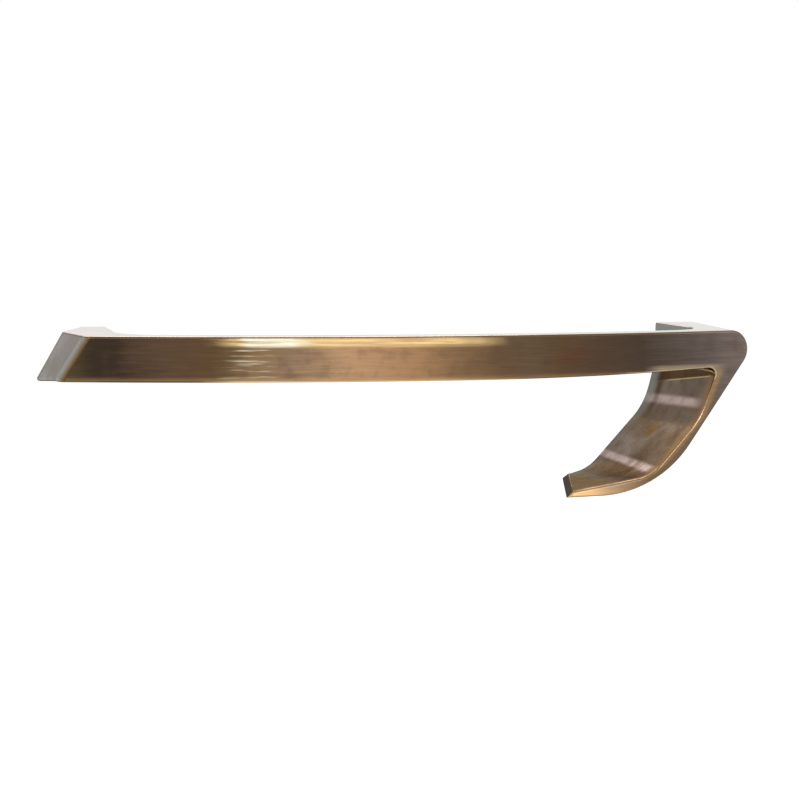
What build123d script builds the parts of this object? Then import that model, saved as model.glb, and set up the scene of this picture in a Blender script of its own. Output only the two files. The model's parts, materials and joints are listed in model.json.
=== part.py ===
"""Arch pull: one brass casting with a bowed grip, two legs and a claw-shaped blade below the right leg.

Millimetres. The cabinet face is the plane Y = 0 and the pull stands out towards -Y.
X runs along the grip, Z is up, and the origin lies midway between the two screw holes.
"""
import os
from math import radians, sqrt, tan

from build123d import *

# Fixing to the cabinet: two blind M4 holes tapped into the feet
hole_spacing = 128.0
thread_core_radius = 1.65
thread_depth = 12.0
thread_mouth_chamfer = 0.4

# Grip: a flat bar bowed away from the cabinet, its underside rising a little to the right
projection = 33.5
arch_radius = 287.0
bar_height = 8.7
bar_thickness = 5.0
underside_rise = 1.2
underside_rise_start = 8.0

# Left leg: a slanted end that flares out behind the grip and runs in to a narrow, deeper foot
left_overhang = 3.3
end_slant = 4.9
left_flare = 3.0
left_flare_height = 13.0
left_flare_radius = 6.0
left_foot_inset = 2.1
left_foot_width = 5.2
left_drop_setback = 2.4
left_drop_inner = 50.0
left_drop_radius = 30.0
left_drop_slope = 5.0
leg_root_radius = 9.0

# Right leg and claw: a blade drafted from a plane just past the front of the grip to the cabinet plane
blade_reach = 1.0
leg_inner_front = 61.3
leg_inner_base = 58.6
shoulder_radius = 4.0
outside_slope = 53.0
knee_wall_front = 0.85
knee_wall_base = 5.1
knee_drop = 13.4
knee_run_front = 4.0
knee_run_base = 2.3
knee_radius = 15.0
instep_wall_front = 3.8
instep_wall_base = 2.0
instep_drop_front = 24.3
instep_drop_base = 27.2
instep_run_front = 15.0
instep_run_base = 15.0
instep_radius = 9.0
heel_radius_front = 27.5
heel_radius_base = 10.0
claw_tip_front = 25.9
claw_tip_base = 37.8
claw_tip_wall_front = 1.2
claw_tip_wall_base = 0.9
claw_tip_rake = 1.3
claw_corner_radius = 1.8

# Edges
slant_corner_radius = 2.0
edge_radius = 0.5

# Worked out from the sizes above
half_height = bar_height / 2
front_plane = projection + blade_reach
arch_centre = (0, arch_radius - projection)
left_corner = -hole_spacing / 2 - left_overhang
corner_height = projection - arch_radius + sqrt(arch_radius**2 - left_corner**2)
foot_outer = left_corner + left_foot_inset
foot_inner = foot_outer + left_foot_width
left_drop_start = corner_height - left_drop_setback
grip_end = leg_inner_front + claw_corner_radius / 2
claw_corner = (leg_inner_front - claw_corner_radius / 3, underside_rise - half_height)
reach = hole_spacing


def nearest_vertex(sketch, x, y):
    """The sketch's vertex nearest to a place in its own plane."""
    return sketch.vertices().sort_by_distance((x, y, 0))[0]


def in_front_of_cabinet(edge):
    """Whether an edge stands clear of the cabinet plane, where the feet stay sharp."""
    return edge.center().Y < -edge_radius


def blade_section(plane, inner, knee_place, instep_place, heel_radius, tip, tip_wall):
    """Front view of the right leg and claw on one plane. Knee and instep are (run, drop, wall)."""
    knee_run, knee_depth, knee_wall = knee_place
    instep_run, instep_drop, instep_wall = instep_place
    slope = tan(radians(outside_slope))
    drop = instep_drop + instep_wall
    knee = (inner - knee_run, -knee_depth)
    instep = (inner - instep_run, -instep_drop)
    shoulder = (knee[0] + knee_wall + (half_height + knee_depth) / slope, half_height)
    heel = (shoulder[0] - (half_height + drop) / slope, -drop)
    with BuildSketch(plane) as section:
        with BuildLine():
            Polyline(
                (inner, half_height),
                shoulder,
                heel,
                (tip, -drop),
                (tip + claw_tip_rake, tip_wall - drop),
                instep,
                knee,
                (inner, -half_height),
                close=True,
            )
        make_face()
        fillet(nearest_vertex(section.sketch_local, *shoulder), shoulder_radius)
        fillet(nearest_vertex(section.sketch_local, *heel), heel_radius)
        fillet(nearest_vertex(section.sketch_local, *instep), instep_radius)
        fillet(nearest_vertex(section.sketch_local, *knee), knee_radius)
    return section.sketch


blade_front = blade_section(
    Plane.XZ.offset(front_plane),
    leg_inner_front,
    (knee_run_front, knee_drop, knee_wall_front),
    (instep_run_front, instep_drop_front, instep_wall_front),
    heel_radius_front,
    claw_tip_front,
    claw_tip_wall_front,
)
blade_base = blade_section(
    Plane.XZ,
    leg_inner_base,
    (knee_run_base, knee_drop, knee_wall_base),
    (instep_run_base, instep_drop_base, instep_wall_base),
    heel_radius_base,
    claw_tip_base,
    claw_tip_wall_base,
)

with BuildPart() as arch_pull:
    # Block from which the grip and the left leg are cut
    with BuildSketch(Plane.XY.offset(half_height)):
        with Locations((-reach, -reach)):
            Rectangle(reach + grip_end, reach, align=(Align.MIN, Align.MIN))
    extrude(amount=-bar_height - claw_corner_radius)

    # Underside of the grip, rising in a long arc to the corner above the claw
    with BuildSketch(Plane.XZ) as underside:
        with BuildLine():
            Line((-reach, -half_height), (underside_rise_start, -half_height))
            TangentArc((underside_rise_start, -half_height), claw_corner, tangent=(1, 0))
            Polyline(claw_corner, (claw_corner[0], -reach), (-reach, -reach), (-reach, -half_height))
        make_face()
        fillet(nearest_vertex(underside.sketch_local, *claw_corner), claw_corner_radius)
    extrude(amount=reach, mode=Mode.SUBTRACT)

    # Left leg, deepening towards the cabinet
    with BuildSketch(Plane.YZ.offset(-reach)):
        with BuildLine():
            bend = JernArc(
                start=(-left_drop_start, -half_height),
                tangent=(1, 0),
                radius=left_drop_radius,
                arc_size=-left_drop_slope,
            )
            foot_depth = (bend @ 1).Y + (bend @ 1).X * tan(radians(left_drop_slope))
            Polyline(bend @ 1, (0, foot_depth), (0, 0), (-left_drop_start, 0), bend @ 0)
        make_face()
    extrude(amount=reach - left_drop_inner)

    # Finger gap between the legs, with a root radius at each
    with BuildSketch(Plane.XY.offset(-reach)) as finger_gap:
        with BuildLine():
            Polyline(
                (foot_inner, 0),
                (foot_inner, -front_plane),
                (leg_inner_front, -front_plane),
                (leg_inner_base, 0),
                close=True,
            )
        make_face()
        with Locations(arch_centre):
            Circle(arch_radius - bar_thickness, mode=Mode.INTERSECT)
        fillet(nearest_vertex(finger_gap.sketch_local, foot_inner, -corner_height), leg_root_radius)
        fillet(nearest_vertex(finger_gap.sketch_local, leg_inner_front, -corner_height), leg_root_radius)
    extrude(amount=2 * reach, mode=Mode.SUBTRACT)

    # Outside of the left leg: flare and run-in, cut along the slant of the end
    flare_slope = left_flare / (corner_height - left_flare_height)
    slant_shift = end_slant / 2
    flare_point = (left_corner - left_flare + slant_shift, -left_flare_height)
    with BuildSketch(Plane.XY.offset(bar_height)) as left_outside:
        with BuildLine():
            Polyline(
                (flare_point[0] + flare_slope * (reach - left_flare_height), -reach),
                flare_point,
                (foot_outer + slant_shift, 0),
                (foot_outer + slant_shift, 1),
                (-2 * reach, 1),
                (-2 * reach, -reach),
                close=True,
            )
        make_face()
        fillet(nearest_vertex(left_outside.sketch_local, *flare_point), left_flare_radius)
    slant = (-end_slant, 0, -bar_height)
    extrude(amount=2 * sqrt(end_slant**2 + bar_height**2), dir=slant, mode=Mode.SUBTRACT)

    # Right leg and claw
    loft([blade_front, blade_base], ruled=True)

    # Bowed front face, cut across the grip and both legs
    with BuildSketch(Plane.XY.offset(-reach)):
        with Locations((0, -reach)):
            Rectangle(4 * reach, 4 * reach)
        with Locations(arch_centre):
            Circle(arch_radius, mode=Mode.SUBTRACT)
    extrude(amount=2 * reach, mode=Mode.SUBTRACT)

    # Tapped holes, blind, with a chamfered mouth
    with Locations(Plane.XZ):
        with GridLocations(hole_spacing, 1, 2, 1):
            Cylinder(
                thread_core_radius,
                thread_depth,
                align=(Align.CENTER, Align.CENTER, Align.MIN),
                mode=Mode.SUBTRACT,
            )
            Cone(
                thread_core_radius + thread_mouth_chamfer,
                thread_core_radius,
                thread_mouth_chamfer,
                align=(Align.CENTER, Align.CENTER, Align.MIN),
                mode=Mode.SUBTRACT,
            )

    # Soft corner down the slanted end, then the rims of the front, the top and the claw's tip
    front_face = arch_pull.faces().sort_by(lambda face: face.center().Y)[0]
    fillet(front_face.edges().sort_by(Axis.X)[0], slant_corner_radius)
    front_face = arch_pull.faces().sort_by(lambda face: face.center().Y)[0]
    top_face = arch_pull.faces().sort_by(Axis.Z)[-1]
    tip_face = arch_pull.faces().filter_by(lambda face: face.normal_at().X < -0.7).sort_by(Axis.Z)[0]
    top_and_tip_edges = (top_face.edges() + tip_face.edges()).filter_by(in_front_of_cabinet)
    fillet(front_face.edges() + top_and_tip_edges, edge_radius)

arch_pull.part.label = "arch_pull"
os.makedirs("parts", exist_ok=True)
export_step(arch_pull.part, "parts/arch_pull.step")
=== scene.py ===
import json
from math import cos, radians, sin

import bpy
from mathutils import Matrix, Vector

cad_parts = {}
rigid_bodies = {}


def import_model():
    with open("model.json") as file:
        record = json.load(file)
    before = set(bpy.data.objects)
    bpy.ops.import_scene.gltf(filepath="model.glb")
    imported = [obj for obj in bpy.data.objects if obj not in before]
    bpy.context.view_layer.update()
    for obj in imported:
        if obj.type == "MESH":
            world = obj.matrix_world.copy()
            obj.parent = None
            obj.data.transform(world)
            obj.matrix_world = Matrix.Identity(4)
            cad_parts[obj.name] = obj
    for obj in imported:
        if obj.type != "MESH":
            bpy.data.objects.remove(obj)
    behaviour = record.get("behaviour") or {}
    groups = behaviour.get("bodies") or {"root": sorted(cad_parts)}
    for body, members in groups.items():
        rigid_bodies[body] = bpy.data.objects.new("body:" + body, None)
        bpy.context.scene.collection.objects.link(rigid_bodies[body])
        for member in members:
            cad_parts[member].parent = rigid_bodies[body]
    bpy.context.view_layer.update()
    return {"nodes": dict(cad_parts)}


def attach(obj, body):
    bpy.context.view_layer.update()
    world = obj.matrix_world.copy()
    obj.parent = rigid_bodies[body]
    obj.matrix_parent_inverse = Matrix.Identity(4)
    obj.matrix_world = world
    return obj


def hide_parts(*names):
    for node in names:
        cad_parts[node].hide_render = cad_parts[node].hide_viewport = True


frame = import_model()

# --- Camera ---
# Near-front view from a little left of the pull and just above it, with a very slight roll. The
# place, turn and focal length were fitted to the edges of the grip, both ends and the claw.
camera_place = Vector((-0.10758, -0.38797, 0.03151))
turn_to_right = radians(15.651)
look_down = radians(6.105)
roll = radians(0.604)
focal_pixels = 1932
picture_width = 799
sensor_width = 36
nearest_seen = 0.01

sight = Vector((
    sin(turn_to_right) * cos(look_down),
    cos(turn_to_right) * cos(look_down),
    -sin(look_down),
))
level_right = sight.cross(Vector((0, 0, 1))).normalized()
level_up = level_right.cross(sight)
right = cos(roll) * level_right + sin(roll) * level_up
up = cos(roll) * level_up - sin(roll) * level_right

bpy.ops.object.select_all(action="DESELECT")
bpy.ops.object.camera_add()
camera = bpy.context.object
camera.name = "photo_camera"
axes = Matrix((right, up, -sight)).transposed()
camera.matrix_world = Matrix.Translation(camera_place) @ axes.to_4x4()
camera.data.sensor_fit = "HORIZONTAL"
camera.data.sensor_width = sensor_width
camera.data.lens = focal_pixels * sensor_width / picture_width
camera.data.clip_start = nearest_seen
bpy.context.scene.camera = camera
bpy.context.scene.view_settings.view_transform = "Standard"

# --- Studio ---
# White floor below the pull, white surroundings and three soft lamps at a plain level. A share of
# glow makes the floor white to the camera, gloss and glass, and leaves the pull's soft shadow.
white = (1, 1, 1, 1)
floor_size = 6
floor_height = -0.12
floor_roughness = 0.9
floor_glow_share = 0.7
surroundings_strength = 1.0
lamp_aim = Vector((0, -0.02, 0))


def new_material(name):
    """A material with a Principled shader and its output."""
    material = bpy.data.materials.new(name)
    material.use_nodes = True
    tree = material.node_tree
    tree.nodes.clear()
    shader = tree.nodes.new("ShaderNodeBsdfPrincipled")
    output = tree.nodes.new("ShaderNodeOutputMaterial")
    tree.links.new(shader.outputs["BSDF"], output.inputs["Surface"])
    return material, tree, shader, output


def put(source, target):
    """Feeds a socket of the material in hand from another socket, or sets it to a plain value."""
    if isinstance(source, bpy.types.NodeSocket):
        tree.links.new(source, target)
    else:
        target.default_value = source


def calculate(operation, first, second=0.0, third=0.0):
    """Sum, product or the like of numbers in the material in hand."""
    step = tree.nodes.new("ShaderNodeMath")
    step.operation = operation
    for value, socket in zip((first, second, third), step.inputs):
        put(value, socket)
    return step.outputs[0]


bpy.ops.object.select_all(action="DESELECT")
bpy.ops.mesh.primitive_plane_add(size=floor_size, location=(0, 0, floor_height))
floor = bpy.context.object
floor.name = "studio_floor"
bpy.ops.object.transform_apply(location=True, rotation=True, scale=True)

white_floor, tree, floor_shader, floor_output = new_material("white_floor")
floor_shader.inputs["Base Color"].default_value = white
floor_shader.inputs["Roughness"].default_value = floor_roughness
glow = tree.nodes.new("ShaderNodeEmission")
glow.inputs["Color"].default_value = white
rays = tree.nodes.new("ShaderNodeLightPath")
seen = calculate("MAXIMUM", rays.outputs["Is Camera Ray"], rays.outputs["Is Glossy Ray"])
seen = calculate("MAXIMUM", seen, rays.outputs["Is Transmission Ray"])
share = tree.nodes.new("ShaderNodeMixShader")
put(calculate("MULTIPLY", seen, floor_glow_share), share.inputs["Fac"])
put(floor_shader.outputs["BSDF"], share.inputs[1])
put(glow.outputs["Emission"], share.inputs[2])
put(share.outputs["Shader"], floor_output.inputs["Surface"])
floor.data.materials.append(white_floor)

world = bpy.data.worlds.new("white_studio")
bpy.context.scene.world = world
world.use_nodes = True
world_tree = world.node_tree
world_tree.nodes.clear()
surroundings = world_tree.nodes.new("ShaderNodeBackground")
surroundings.inputs["Color"].default_value = white
surroundings.inputs["Strength"].default_value = surroundings_strength
world_output = world_tree.nodes.new("ShaderNodeOutputWorld")
world_tree.links.new(surroundings.outputs["Background"], world_output.inputs["Surface"])

for name, lamp_place, size, power in (
    ("key_softbox", (-0.5, -0.7, 0.9), 0.5, 4.0),
    ("fill_softbox", (0.8, -0.5, 0.5), 0.6, 2.0),
    ("back_softbox", (0.1, 0.8, 0.7), 0.6, 4.0),
):
    bpy.ops.object.light_add(type="AREA", location=lamp_place)
    lamp = bpy.context.object
    lamp.name = name
    lamp.data.size = size
    lamp.data.energy = power
    lamp.rotation_euler = (lamp_aim - Vector(lamp_place)).to_track_quat("-Z", "Y").to_euler()

# --- The pull ---
# One brass casting: the bowed grip, two legs and the claw, held by a screw in each foot. It has a
# brown chemical patina under clear lacquer, and the front is brushed lengthwise. The light middle
# of the grip and the bright edges are painted highlights and reflections on the patina.
merge_distance = 1e-6
sharp_angle = radians(40)
eased_edge = 0.00015
eased_edge_steps = 2
smooth_angle = radians(35)

cad_pull = frame["nodes"]["arch_pull"]
bpy.ops.object.select_all(action="DESELECT")
cad_pull.select_set(True)
bpy.context.view_layer.objects.active = cad_pull
bpy.ops.object.duplicate(linked=False)
pull = bpy.context.object
pull.name = "bronzed_pull"
bpy.ops.object.parent_clear(type="CLEAR")
for key in list(pull.keys()):
    del pull[key]

# The copy's loose triangles are merged and its remaining sharp edges eased, as tumbling does
bpy.ops.object.mode_set(mode="EDIT")
bpy.ops.mesh.select_mode(type="EDGE")
bpy.ops.mesh.select_all(action="SELECT")
bpy.ops.mesh.remove_doubles(threshold=merge_distance)
bpy.ops.mesh.customdata_custom_splitnormals_clear()
bpy.ops.mesh.select_all(action="DESELECT")
bpy.ops.mesh.edges_select_sharp(sharpness=sharp_angle)
bpy.ops.mesh.bevel(
    offset=eased_edge, segments=eased_edge_steps, affect="EDGES", clamp_overlap=True,
)
bpy.ops.mesh.select_all(action="DESELECT")
bpy.ops.object.mode_set(mode="OBJECT")

# Normals weighted by face, so that flat faces look flat up to their rounded rims
bpy.ops.object.shade_smooth_by_angle(angle=smooth_angle)
bpy.ops.object.modifier_add(type="WEIGHTED_NORMAL")
pull.modifiers[-1].keep_sharp = True
bpy.ops.object.modifier_apply(modifier=pull.modifiers[-1].name)

# The finish is laid out in millimetres: along the grip, back towards the cabinet and up
MM = 0.001
arch_radius = 287
projection = 33.5
ramp_reach = 75
brass_tint = (168, 156, 144)
lacquer_roughness = 0.12


def linear(red, green, blue):
    """Linear colour of an 8-bit display colour."""
    scaled = (value / 255 for value in (red, green, blue))
    return tuple(v / 12.92 if v <= 0.04045 else ((v + 0.055) / 1.055) ** 2.4 for v in scaled) + (1,)


bronze, tree, bronze_shader, _ = new_material("bronzed_brass")
bronze_shader.inputs["Specular IOR Level"].default_value = 0.0
bronze_shader.inputs["Specular Tint"].default_value = linear(*brass_tint)
bronze_shader.inputs["Coat Roughness"].default_value = lacquer_roughness


def split(vector):
    """The three coordinates of a vector."""
    parts = tree.nodes.new("ShaderNodeSeparateXYZ")
    put(vector, parts.inputs[0])
    return parts.outputs


def product(*factors):
    """Masks and shares multiplied together."""
    result = factors[0]
    for factor in factors[1:]:
        result = calculate("MULTIPLY", result, factor)
    return result


def fade(value, low, high, at_low=0.0, at_high=1.0):
    """Smooth step of a value between two limits."""
    step = tree.nodes.new("ShaderNodeMapRange")
    step.interpolation_type = "SMOOTHSTEP"
    for source, name in (
        (value, "Value"),
        (low, "From Min"),
        (high, "From Max"),
        (at_low, "To Min"),
        (at_high, "To Max"),
    ):
        put(source, step.inputs[name])
    return step.outputs["Result"]


def between(value, low, high, soft):
    """One between two places, fading out over a soft width outside them."""
    return product(fade(value, low - soft, low), fade(value, high, high + soft, 1.0, 0.0))


mix_sockets = {"FLOAT": (2, 3, 0), "RGBA": (6, 7, 2)}


def blend(kind, amount, under, over):
    """Mix node for two numbers or two colours, which have their own sockets on it."""
    first, second, result = mix_sockets[kind]
    mix = tree.nodes.new("ShaderNodeMix")
    mix.data_type = kind
    put(amount, mix.inputs[0])
    put(under, mix.inputs[first])
    put(over, mix.inputs[second])
    return mix.outputs[result]


def lay(under, over, *shares):
    """Lays a colour over another, as far as the product of the shares. A plain one is 8-bit."""
    colours = [linear(*colour) if isinstance(colour, tuple) else colour for colour in (under, over)]
    return blend("RGBA", product(*shares), *colours)


def ramp(value, stops, low=-ramp_reach, high=ramp_reach):
    """Colours laid out between two limits of a value, each at its place."""
    spread = tree.nodes.new("ShaderNodeValToRGB")
    length = high - low
    put(calculate("MULTIPLY_ADD", value, 1 / length, -low / length), spread.inputs["Fac"])
    elements = spread.color_ramp.elements
    first, *middle, last = stops
    for number, (spot, colour) in enumerate((first, last, *middle)):
        position = (spot - low) / length
        stop = elements[number] if number < 2 else elements.new(position)
        stop.position = position
        stop.color = linear(*colour)
    return spread.outputs["Color"]


where = tree.nodes.new("ShaderNodeTexCoord")
place = where.outputs["Object"]
along, depth, height = (calculate("MULTIPLY", metres, 1 / MM) for metres in split(place))
facing_x, facing_y, facing_z = split(where.outputs["Normal"])

# How far a point lies behind the bowed front
front_curve = calculate("MULTIPLY_ADD", product(along, along), -1 / (2 * arch_radius), projection)
setback = calculate("ADD", depth, front_curve)

# The front, its rounded rims and the sides that look left, by the way that a face is turned
front = fade(facing_y, -0.955, -0.86, 1.0, 0.0)
rim = product(calculate("SUBTRACT", 1.0, front), fade(facing_y, -0.4, -0.15, 1.0, 0.0))
inner_side = fade(facing_x, 0.0, -0.1)


def noise(scale, detail=2.0, stretch=(1, 1, 1), offset=(0, 0, 0), roughness=0.5):
    """Noise in the brass, drawn out along an axis by its stretch."""
    mapping = tree.nodes.new("ShaderNodeMapping")
    mapping.inputs["Scale"].default_value = stretch
    mapping.inputs["Location"].default_value = offset
    put(place, mapping.inputs["Vector"])
    texture = tree.nodes.new("ShaderNodeTexNoise")
    texture.inputs["Scale"].default_value = scale
    texture.inputs["Detail"].default_value = detail
    texture.inputs["Roughness"].default_value = roughness
    put(mapping.outputs["Vector"], texture.inputs["Vector"])
    return texture.outputs["Fac"]


# Brush lines that run along the pull, grain, and clouds and spots in the patina
brush = noise(1.0, detail=3, stretch=(70, 70, 1900), roughness=0.6)
fine_brush = noise(1.0, detail=2, stretch=(260, 260, 6500), offset=(5, 2, 0))
grain = noise(2400, detail=2)
cloud = noise(75, detail=4, stretch=(1, 1, 1.6), offset=(1, 4, 2))
mottle = noise(330, detail=3, offset=(7, 3, 1))

# Patina with a painted reflection along the grip: dark towards the ends, light in the middle
brush_drift = 8
cloud_drift = 14
red_brown = (98, 56, 42)
dark_mottle = (84, 66, 58)

drift = calculate("MULTIPLY_ADD", brush, brush_drift, -brush_drift / 2)
drift = calculate("MULTIPLY_ADD", cloud, cloud_drift, calculate("ADD", drift, -cloud_drift / 2))
drifted_along = calculate("ADD", along, drift)
grip_colour = ramp(drifted_along, (
    (-75, (92, 76, 54)),
    (-66, (60, 49, 38)),
    (-61, (62, 49, 39)),
    (-54, (92, 72, 56)),
    (-46, (98, 75, 51)),
    (-42, (106, 84, 60)),
    (-37, (140, 112, 80)),
    (-30, (143, 118, 92)),
    (-19, (186, 147, 111)),
    (-5, (168, 130, 93)),
    (2, (136, 106, 76)),
    (10, (104, 81, 59)),
    (18, (98, 79, 61)),
    (25, (92, 71, 52)),
    (44, (72, 60, 50)),
    (57, (94, 84, 78)),
    (75, (124, 112, 104)),
))
red_patch = product(between(drifted_along, 28, 30, 5), between(height, -0.6, 0.6, 2.0))
grip_colour = lay(grip_colour, red_brown, red_patch, fade(cloud, 0.3, 0.7, 0.2, 0.4))
grip_colour = lay(grip_colour, dark_mottle, fade(mottle, 0.45, 0.8, 0.0, 0.35))

# Painted highlights: streaks along the upper edge of the light middle, a pale line along the lower
# edge. Then a pale patch at the claw's corner.
highlight_gold = (255, 220, 156)
highlight_white = (255, 254, 232)
lower_highlight_gold = (222, 190, 144)
corner_gold = (174, 156, 128)

highlight_streaks = fade(brush, 0.34, 0.58, 0.5, 1.0)
upper_band = between(height, 3.0, 3.5, 1.0)
lit_middle = between(drifted_along, -36, 2, 12)
grip_colour = lay(grip_colour, highlight_gold, upper_band, lit_middle, 0.9, highlight_streaks)
brightest = product(upper_band, between(drifted_along, -37, -30, 3.5))
strays = product(between(drifted_along, -39, -34, 4), fade(brush, 0.55, 0.68), 0.4)
brightest = calculate("MAXIMUM", brightest, strays)
grip_colour = lay(grip_colour, highlight_white, brightest, highlight_streaks)
# Painted highlight: a pale line along the lower edge of the grip
lower_highlight = product(between(height, -6, -4.1, 0.7), between(drifted_along, -38, 0, 10))
grip_colour = lay(grip_colour, lower_highlight_gold, lower_highlight, 0.5)
claw_corner = product(between(height, -4.6, -2.9, 0.9), between(along, 48, 59, 5))
grip_colour = lay(grip_colour, corner_gold, claw_corner, 0.55)

# The front of the claw, light at the tip, with a painted highlight in soft gold along its opening.
# The opening's edge is given as distances below the middle of the grip and places along it.
opening_height = 30
opening_reach = 70
opening_edge = (
    (3.2, 61.3),
    (10, 58.6),
    (13.4, 56.9),
    (18.5, 52.1),
    (22.5, 47.9),
    (24.3, 45.3),
    (26.9, 27.2),
)
opening_highlight_gold = (158, 124, 84)

claw_colour = ramp(along, (
    (20, (255, 216, 152)),
    (32, (244, 196, 138)),
    (36, (194, 160, 124)),
    (40, (160, 132, 102)),
    (45, (116, 96, 74)),
    (58, (106, 93, 80)),
    (75, (104, 95, 84)),
))
grip_colour = lay(grip_colour, claw_colour, fade(height, -5, -16))
opening = tree.nodes.new("ShaderNodeFloatCurve")
put(calculate("MULTIPLY", height, -1 / opening_height), opening.inputs["Value"])
edge_line = opening.mapping.curves[0].points
for number, (below, across) in enumerate(opening_edge):
    spot = (below / opening_height, across / opening_reach)
    point = edge_line[number] if number < 2 else edge_line.new(*spot)
    point.location = spot
for point in edge_line:
    point.handle_type = "VECTOR"
opening.mapping.update()
beside_opening = calculate("MULTIPLY_ADD", opening.outputs["Value"], -opening_reach, along)
beside_opening = product(fade(beside_opening, 0.4, 1.9, 1.0, 0.0), fade(height, -3, -4.5))
grip_colour = lay(grip_colour, opening_highlight_gold, beside_opening, 0.7)

# Rounded rims with painted highlights where light catches them, darker along the upper rim
lower_rim_reflection = (196, 180, 146)
outer_rim = (122, 106, 74)

rim_colour = ramp(drifted_along, (
    (-75, (118, 98, 62)),
    (-62, (84, 66, 46)),
    (-46, (92, 72, 52)),
    (-38, (222, 190, 142)),
    (0, (206, 168, 118)),
    (16, (132, 110, 74)),
    (34, (122, 104, 72)),
    (60, (112, 102, 82)),
    (75, (112, 102, 82)),
))
upper_rim_colour = ramp(drifted_along, (
    (-75, (74, 62, 48)),
    (-66, (50, 41, 33)),
    (-44, (56, 44, 34)),
    (-34, (104, 78, 50)),
    (-10, (140, 102, 64)),
    (8, (112, 86, 56)),
    (30, (84, 66, 46)),
    (75, (96, 88, 78)),
))
claw_rim_colour = ramp(height, (
    (-32, (208, 166, 112)),
    (-26, (138, 114, 88)),
    (-19, (140, 118, 94)),
    (-13, (172, 144, 118)),
    (-7, (128, 101, 66)),
    (-3, (116, 97, 74)),
))
rim_colour = lay(rim_colour, upper_rim_colour, fade(facing_z, 0.15, 0.45))
# Painted reflection of the floor on the lower rim near the claw's corner
lower_rim = product(between(height, -5.2, -2.6, 0.8), between(along, 42, 59, 6))
rim_colour = lay(rim_colour, lower_rim_reflection, lower_rim)
claw_rim = fade(height, -4.6, -7)
rim_colour = lay(rim_colour, claw_rim_colour, claw_rim)
rim_colour = lay(rim_colour, outer_rim, claw_rim, fade(facing_x, 0.1, 0.4))

# Inside of the claw and the sides: smooth brown patina, with painted mauve reflections at the two
# bends
brown = (99, 88, 79)
light_brown = (124, 113, 105)
brown_mottle = (88, 76, 68)
ochre = (122, 98, 62)
ochre_centre = (0.0522, -0.0125, -0.0170)
mauve = (202, 182, 178)
lilac = (160, 151, 147)
dull_gold = (106, 83, 40)

inside_colour = lay(brown, light_brown, fade(cloud, 0.3, 0.7))
inside_colour = lay(inside_colour, brown_mottle, fade(mottle, 0.42, 0.75, 0.0, 0.45))
ochre_distance = tree.nodes.new("ShaderNodeVectorMath")
ochre_distance.operation = "DISTANCE"
put(place, ochre_distance.inputs[0])
put(ochre_centre, ochre_distance.inputs[1])
ochre_spot = fade(ochre_distance.outputs["Value"], 0.4 * MM, 3.2 * MM, 0.55, 0.0)
inside_colour = lay(inside_colour, ochre, ochre_spot, inner_side)
# Painted reflections of a light across the two bends of the claw, the knee and the instep
knee_sheen = between(calculate("MULTIPLY_ADD", depth, 0.05, height), -12.2, -11.6, 1.1)
instep_sheen = between(height, -24.0, -23.5, 0.7)
bend_sheen = product(calculate("MAXIMUM", knee_sheen, instep_sheen), fade(setback, 1, 6, 0.3, 1.0))
sheen_streaks = product(fade(mottle, 0.25, 0.65, 0.55, 1.0), inner_side)
inside_colour = lay(inside_colour, mauve, bend_sheen, sheen_streaks, 0.75)
lilac_patch = product(between(height, -21.8, -21, 3.2), between(depth, -9, -7, 9))
inside_colour = lay(inside_colour, lilac, lilac_patch, fade(cloud, 0.2, 0.6), inner_side, 0.7)
tip_glow = product(
    between(along, 24, 36, 7), fade(height, -20, -25), fade(facing_z, 0.0, 0.3), 0.75,
)
inside_colour = lay(inside_colour, dull_gold, tip_glow)

# Painted shade under the grip: a dark band for the grip's underside reflected in the claw, ending
# in a thin painted highlight line; a painted shade stripe towards the cabinet, and painted light in
# the corner
underside_shade_brown = (68, 52, 36)
highlight_line_gold = (206, 184, 136)
deep_brown = (62, 58, 54)
corner_light_gold = (186, 162, 120)
underside = -3.64
underside_slope = 0.14

in_claw = product(between(along, 50, 80, 4), inner_side)
from_underside = calculate("SUBTRACT", height, underside)
from_underside = calculate("MULTIPLY_ADD", depth, underside_slope, from_underside)
underside_shade = product(
    between(from_underside, -4.7, 4, 0.35),
    between(height, -12, -4.3, 0.3),
    between(depth, -24, 1, 7),
    in_claw,
)
inside_colour = lay(inside_colour, underside_shade_brown, underside_shade, 0.7)
# Painted highlight: a thin bright line at the lower end of the painted shade
highlight_line = product(between(from_underside, -5.05, -4.95, 0.15), between(depth, -24, -10, 4))
inside_colour = lay(inside_colour, highlight_line_gold, highlight_line, in_claw, 0.55)
far_shade = product(between(depth, -5.4, -4.8, 1.8), fade(height, -18, -11))
inside_colour = lay(inside_colour, deep_brown, far_shade, in_claw, 0.5)
# Painted light in the corner under the grip, lifting its shade
under_corner = product(
    between(height, -6, -2.5, 0.5), between(along, 59, 64, 2), fade(facing_z, 0.0, -0.3),
)
inside_colour = lay(inside_colour, corner_light_gold, under_corner, 0.9)

# Grey towards the cabinet and on the inner side of the right foot
cabinet_grey = (128, 135, 130)
foot_grey = (140, 141, 140)

near_cabinet = product(between(depth, -1.6, 1, 3.2), fade(height, -19, -8, 0.4, 1.0))
inside_colour = lay(inside_colour, cabinet_grey, near_cabinet, 0.8)
above_grip = product(fade(height, -2, 1), between(along, 49, 64, 1))
inside_colour = lay(inside_colour, foot_grey, above_grip, fade(facing_x, -0.25, -0.6))

# Painted highlights: soft gold beside the rounded rims of the front, a pale streak along the rim on
# the claw's floor and a bright line at the claw's tip; and the tip's end face, dark brown and not
# metallic
rim_highlight_gold = (138, 110, 82)
floor_highlight_gold = (232, 198, 168)
tip_highlight_gold = (255, 216, 150)
tip_brown = (70, 60, 56)

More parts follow.
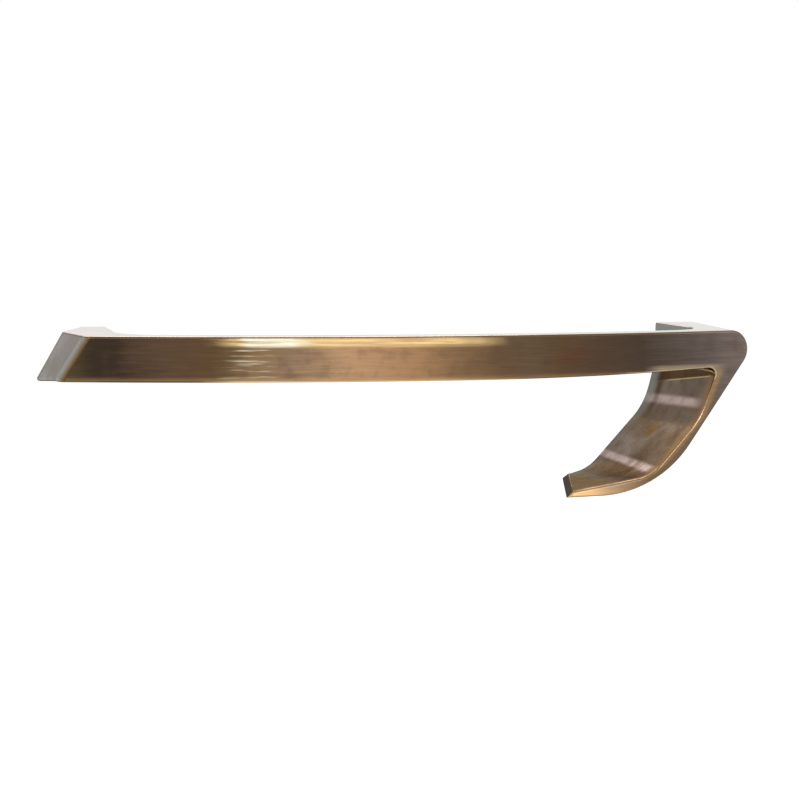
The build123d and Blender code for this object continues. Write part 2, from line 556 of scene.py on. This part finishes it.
inside_colour = lay(inside_colour, rim_highlight_gold, fade(setback, 0.4, 4.0, 0.8, 0.0))
floor_rim = product(
    between(along, 32, 42, 4), fade(setback, 0.4, 1.8, 1.0, 0.0), fade(height, -23, -24.5),
)
inside_colour = lay(inside_colour, floor_highlight_gold, floor_rim, fade(mottle, 0.3, 0.6, 0.35, 0.9))
at_tip = product(between(along, 20, 40, 1.5), fade(height, -25, -26.5))
# Painted highlight: a bright line along the edge of the tip
tip_edge = product(fade(facing_x, -0.26, -0.34), fade(facing_x, -0.48, -0.38), at_tip)
inside_colour = lay(inside_colour, tip_highlight_gold, tip_edge)
tip_face = product(at_tip, fade(facing_x, -0.38, -0.48))
inside_colour = lay(inside_colour, tip_brown, tip_face)
dulled = calculate("MAXIMUM", tip_face, tip_glow)
put(calculate("SUBTRACT", 1.0, dulled), bronze_shader.inputs["Metallic"])

# Upper faces painted pale, standing for light from above, under a lacquer coat
top_light_colour = (172, 154, 130)
bright_top_light_colour = (198, 182, 160)
top_mottle = (150, 132, 106)

upper_colour = lay(top_light_colour, bright_top_light_colour, fade(cloud, 0.35, 0.65))
upper_colour = lay(upper_colour, top_mottle, fade(mottle, 0.45, 0.8, 0.0, 0.25))
upper = product(fade(facing_z, 0.75, 0.97), fade(height, 3, 4))
put(upper, bronze_shader.inputs["Coat Weight"])

# Slanted end: grey with mottle, turning brown by the way the face is turned where it rounds over to
# the front
end_grey = (164, 163, 161)
light_end_grey = (184, 184, 184)
end_mottle = (138, 130, 120)

end_colour = lay(end_grey, light_end_grey, fade(cloud, 0.35, 0.65))
end_colour = lay(end_colour, end_mottle, fade(mottle, 0.45, 0.8, 0.0, 0.3))
turned_left = calculate("MULTIPLY", facing_x, -1.0)
end_turn_colour = ramp(turned_left, low=0, high=1, stops=(
    (0.28, (78, 60, 42)),
    (0.40, (116, 88, 54)),
    (0.52, (124, 108, 78)),
    (0.66, (138, 134, 126)),
    (0.82, (154, 152, 148)),
))
end_part = product(fade(facing_x, -0.24, -0.32), between(along, -90, -64.5, 2))
end_face = fade(facing_x, -0.76, -0.85)
end_colour = lay(end_turn_colour, end_colour, end_part, end_face)

base_colour = lay(inside_colour, rim_colour, rim)
base_colour = lay(base_colour, grip_colour, front)
base_colour = lay(base_colour, end_colour, end_part)
base_colour = lay(base_colour, upper_colour, upper)

# Fine variation: brush lines on the front, soft grain elsewhere
brush_relief = 0.25
brush_depth = 0.02 * MM
mottle_relief = 0.4

lines = calculate("MULTIPLY_ADD", fine_brush, 0.5, calculate("MULTIPLY", brush, 0.5))
lines = fade(lines, 0.3, 0.7, 0.88, 1.12)
grains = fade(grain, 0.3, 0.7, 0.97, 1.03)
tone = tree.nodes.new("ShaderNodeHueSaturation")
put(blend("FLOAT", front, grains, lines), tone.inputs["Value"])
put(base_colour, tone.inputs["Color"])
put(tone.outputs["Color"], bronze_shader.inputs["Base Color"])

brushed = fade(brush, 0.3, 0.7, 0.32, 0.5)
smooth = fade(mottle, 0.3, 0.7, 0.2, 0.34)
put(blend("FLOAT", front, smooth, brushed), bronze_shader.inputs["Roughness"])

relief = product(calculate("ADD", brush, fine_brush), front)
bump = tree.nodes.new("ShaderNodeBump")
bump.inputs["Strength"].default_value = brush_relief
bump.inputs["Distance"].default_value = brush_depth
put(calculate("MULTIPLY_ADD", mottle, mottle_relief, relief), bump.inputs["Height"])
put(bump.outputs["Normal"], bronze_shader.inputs["Normal"])

pull.data.materials.clear()
pull.data.materials.append(bronze)
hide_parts("arch_pull")
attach(pull, "root")
